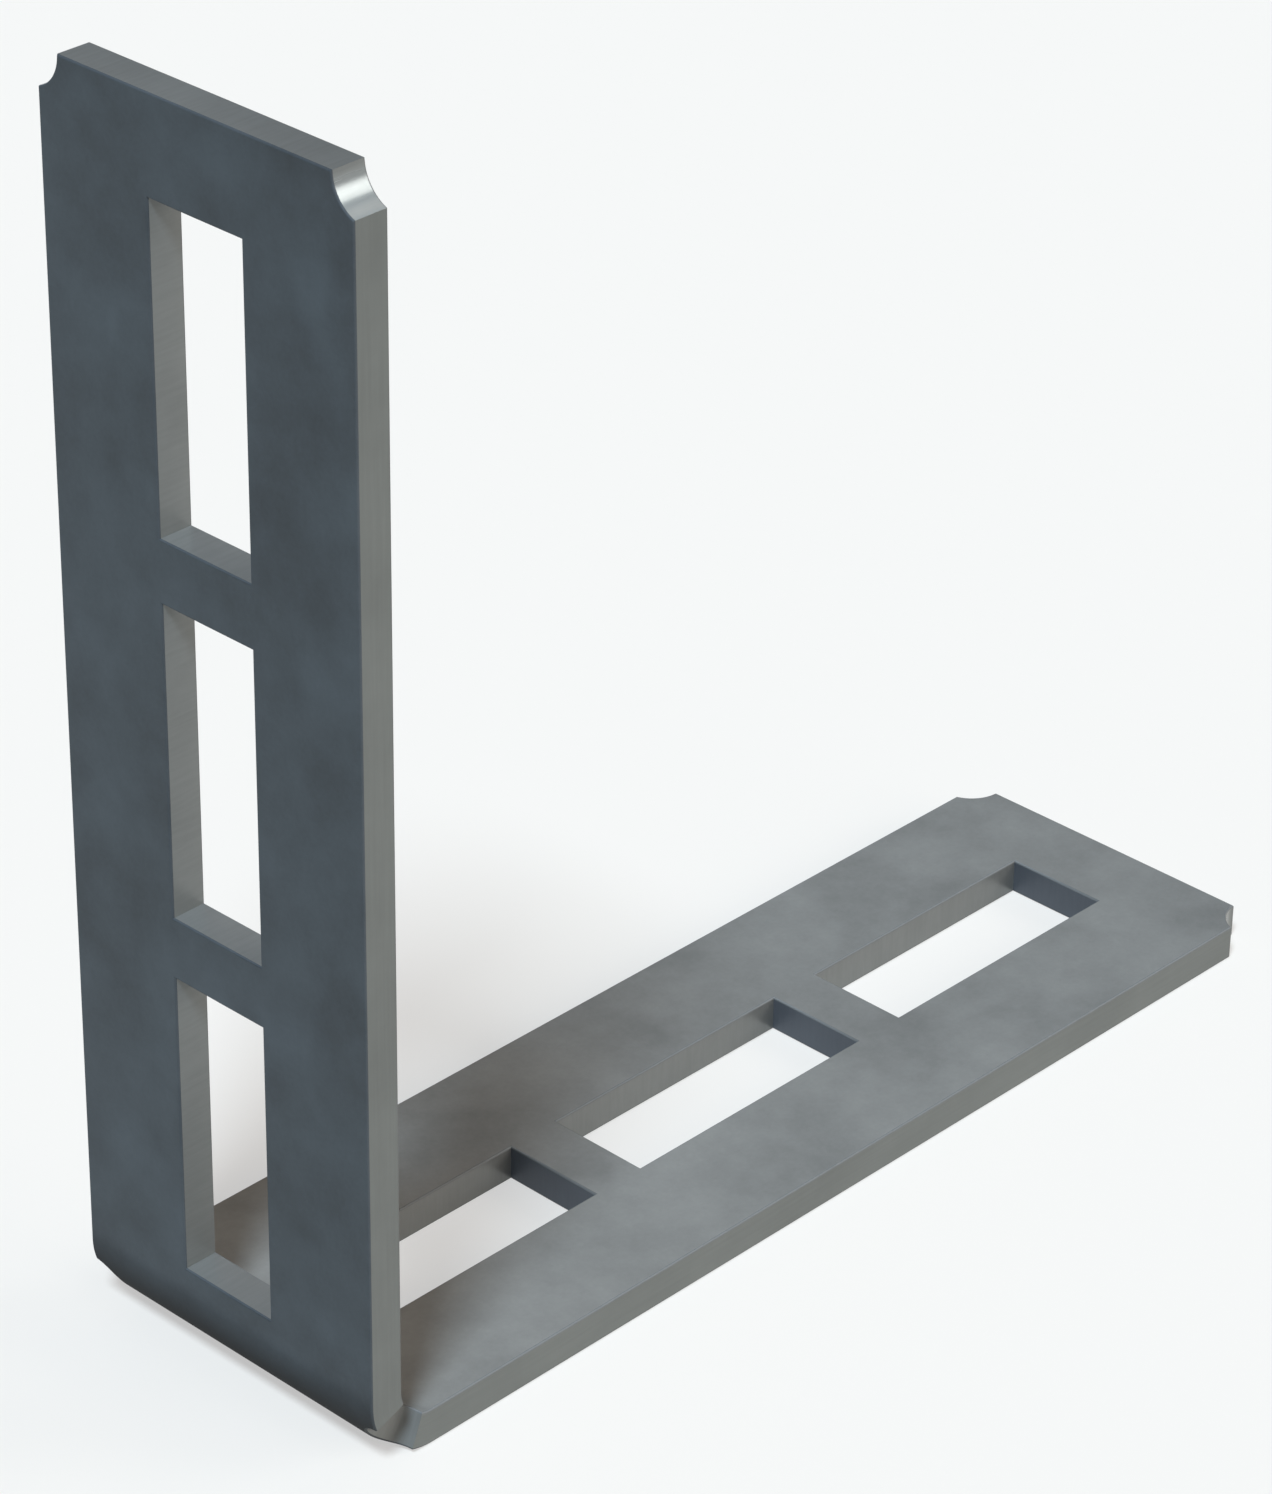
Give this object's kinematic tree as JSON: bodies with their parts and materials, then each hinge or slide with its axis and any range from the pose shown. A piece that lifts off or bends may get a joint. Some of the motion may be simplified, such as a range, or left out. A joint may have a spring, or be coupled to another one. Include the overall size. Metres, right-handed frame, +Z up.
{
  "type": "slotted angle bracket",
  "caption": "Equal-leg angle bracket folded from flat steel bar, with square-ended slots along both legs, nibbled free corners and a relieved fold.",
  "frame": {"origin": "the outer heel, where the outer faces of the two legs would meet, at the middle of the width", "axes": "+X along the base leg from the heel to its free end, +Y across the width, +Z up the upright leg from the heel to its free end"},
  "size_m": [0.202, 0.06, 0.202],
  "materials": {
    "galvanised_steel": "satin"
  },
  "bodies": {
    "root": {"angle_bracket": "galvanised_steel"}
  },
  "joints": []
}
